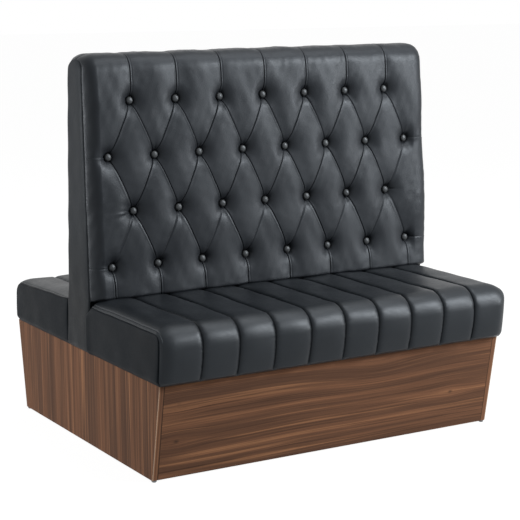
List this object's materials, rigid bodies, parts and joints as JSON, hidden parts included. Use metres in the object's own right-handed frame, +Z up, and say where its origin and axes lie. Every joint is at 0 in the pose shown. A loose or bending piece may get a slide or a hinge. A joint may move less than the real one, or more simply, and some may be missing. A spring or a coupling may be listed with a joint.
{
  "type": "restaurant booth seating",
  "caption": "Double-sided restaurant booth: high diamond-tufted back between two channelled seat cushions on a walnut-faced plinth with raked front and rear.",
  "frame": {"origin": "on the floor, under the middle of the booth", "axes": "+X along the booth, to the right seen from the front seat; the front seat faces -Y; +Z up"},
  "size_m": [1.2, 1.088, 1.193],
  "materials": {
    "walnut_laminate": "satin walnut-grain laminate",
    "walnut_edge_band": "satin walnut-grain edge band",
    "glide_steel": "nickel-plated",
    "softwood": "sawn",
    "plywood": "sanded",
    "zinc_steel": "zinc-plated",
    "foam": "open-cell",
    "tufted_vinyl": "satin fine-grain upholstery vinyl over sewn foam",
    "plain_vinyl": "satin fine-grain upholstery vinyl",
    "button_vinyl": "satin fine-grain upholstery vinyl",
    "seat_vinyl": "satin fine-grain upholstery vinyl over sewn foam"
  },
  "bodies": {
    "booth": {"left_side_panel": "walnut_laminate", "right_side_panel": "walnut_laminate", "front_panel": "walnut_laminate", "rear_panel": "walnut_laminate", "side_panel_edge_bands": "walnut_edge_band", "nail_on_glides": "glide_steel", "front_seat_ledger": "softwood", "rear_seat_ledger": "softwood", "end_ledgers": "softwood", "corner_cleats": "softwood", "spine_spacers": "softwood", "back_bottom_plate": "softwood", "back_lower_rail": "softwood", "back_middle_rail": "softwood", "back_top_rail": "softwood", "front_spine_board": "plywood", "rear_spine_board": "plywood", "spine_top_board": "plywood", "front_center_rib": "plywood", "rear_center_rib": "plywood", "left_back_end_frame": "plywood", "right_back_end_frame": "plywood", "back_center_struts": "plywood", "front_back_board": "plywood", "rear_back_board": "plywood", "front_ledger_screws": "zinc_steel", "rear_ledger_screws": "zinc_steel", "back_fixing_bolts": "zinc_steel", "back_bolt_washers": "zinc_steel", "back_bolt_nuts": "zinc_steel", "front_back_foam": "foam", "rear_back_foam": "foam", "back_top_foam": "foam", "front_tufted_cover": "tufted_vinyl", "rear_tufted_cover": "tufted_vinyl", "left_back_end_cover": "plain_vinyl", "right_back_end_cover": "plain_vinyl", "front_back_lower_cover": "plain_vinyl", "rear_back_lower_cover": "plain_vinyl", "front_buttons": "button_vinyl", "rear_buttons": "button_vinyl"},
    "front_seat": {"front_seat_channel_cover": "seat_vinyl", "front_seat_foam": "foam", "front_seat_deck": "plywood", "front_seat_left_boxing": "seat_vinyl", "front_seat_right_boxing": "seat_vinyl"},
    "rear_seat": {"rear_seat_channel_cover": "seat_vinyl", "rear_seat_foam": "foam", "rear_seat_deck": "plywood", "rear_seat_left_boxing": "seat_vinyl", "rear_seat_right_boxing": "seat_vinyl"}
  },
  "joints": [
    {"name": "front_seat_slide", "type": "slide", "parent": "booth", "child": "front_seat", "axis": [0, -1, 0], "range_m": [0, 0.15]},
    {"name": "rear_seat_slide", "type": "slide", "parent": "booth", "child": "rear_seat", "axis": [0, 1, 0], "range_m": [0, 0.15]}
  ]
}
